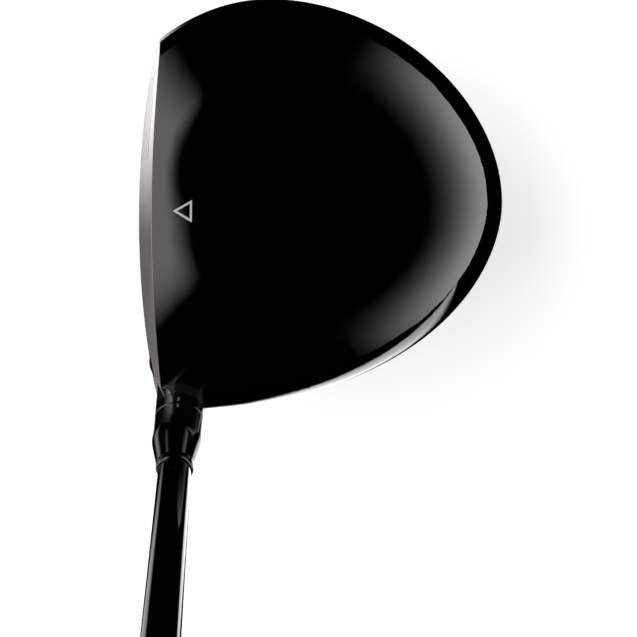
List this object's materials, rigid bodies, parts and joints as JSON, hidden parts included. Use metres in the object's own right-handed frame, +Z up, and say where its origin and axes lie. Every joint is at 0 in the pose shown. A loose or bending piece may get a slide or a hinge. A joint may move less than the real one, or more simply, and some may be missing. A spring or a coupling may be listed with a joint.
{
  "type": "golf driver",
  "caption": "Right-handed golf driver with a glossy black rounded head, an adjustable sleeve at the neck, a ferrule, a tapered shaft and a rubber grip.",
  "frame": {"origin": "centre of the small flat on the sole that the head rests on, on the ground", "axes": "+Z up; the face looks along -Y towards the target; the toe is at -X and the heel, neck and golfer at +X; the shaft leans towards +X at a lie of 58.5 degrees"},
  "size_m": [0.6994, 0.1155, 0.9807],
  "materials": {
    "crown_paint": "high gloss black",
    "body_finish": "smoked satin metal",
    "face_metal": "fine brushed",
    "hot_melt": "soft translucent glue",
    "ring_finish": "black anodised",
    "sleeve_finish": "black anodised",
    "insert_steel": "plain",
    "glue": "cured epoxy",
    "ferrule_plastic": "polished black",
    "shaft_paint": "glossy clear-coated composite",
    "plug_foam": "plain",
    "tape": "paper tape",
    "grip_rubber": "matt, grooved",
    "screw_steel": "blackened",
    "washer_steel": "plain",
    "clip_steel": "spring steel",
    "weight_metal": "turned",
    "seal_rubber": "plain"
  },
  "bodies": {
    "shaft": {"shaft_tube": "shaft_paint", "tip_plug": "plug_foam", "epoxy_bond": "glue", "hosel_sleeve": "sleeve_finish", "thread_insert": "insert_steel", "ferrule": "ferrule_plastic", "ferrule_lip": "ferrule_plastic", "grip_tape": "tape", "grip": "grip_rubber", "grip_cap": "grip_rubber"},
    "ring": {"index_ring": "ring_finish"},
    "head": {"crown_shell": "crown_paint", "body_shell": "body_finish", "face_insert": "face_metal", "damping_bead": "hot_melt", "bolt_washer": "washer_steel", "weight_insert": "insert_steel"},
    "screw": {"hosel_bolt": "screw_steel", "retaining_clip": "clip_steel"},
    "weight": {"sole_weight": "weight_metal", "weight_seal": "seal_rubber"},
    "weight_fastener": {"weight_screw": "screw_steel"}
  },
  "joints": [
    {"name": "setting_turn", "type": "hinge", "parent": "shaft", "child": "ring", "pos_m": [0.0277, -0.032, 0], "axis": [0.5225, 0, 0.8526], "continuous": true},
    {"name": "head_release", "type": "slide", "parent": "ring", "child": "head", "axis": [-0.5225, 0, -0.8526], "range_m": [0, 0.01]},
    {"name": "hosel_screw_turn", "type": "hinge", "parent": "head", "child": "screw", "pos_m": [0.0277, -0.032, 0], "axis": [-0.5225, 0, -0.8526], "range_deg": [-1, 4501]},
    {"name": "weight_out", "type": "slide", "parent": "head", "child": "weight", "axis": [0, 0.2778, -0.9606], "range_m": [0, 0.0052]},
    {"name": "weight_screw_turn", "type": "hinge", "parent": "weight", "child": "weight_fastener", "pos_m": [-0.004, 0.04, 0.00608], "axis": [0, 0.2778, -0.9606], "range_deg": [-1, 2341]}
  ],
  "couplings": [
    {"joint": "hosel_screw_turn", "follows": "head_release", "rad_per_m": 7854},
    {"joint": "weight_screw_turn", "follows": "weight_out", "rad_per_m": 7854}
  ]
}
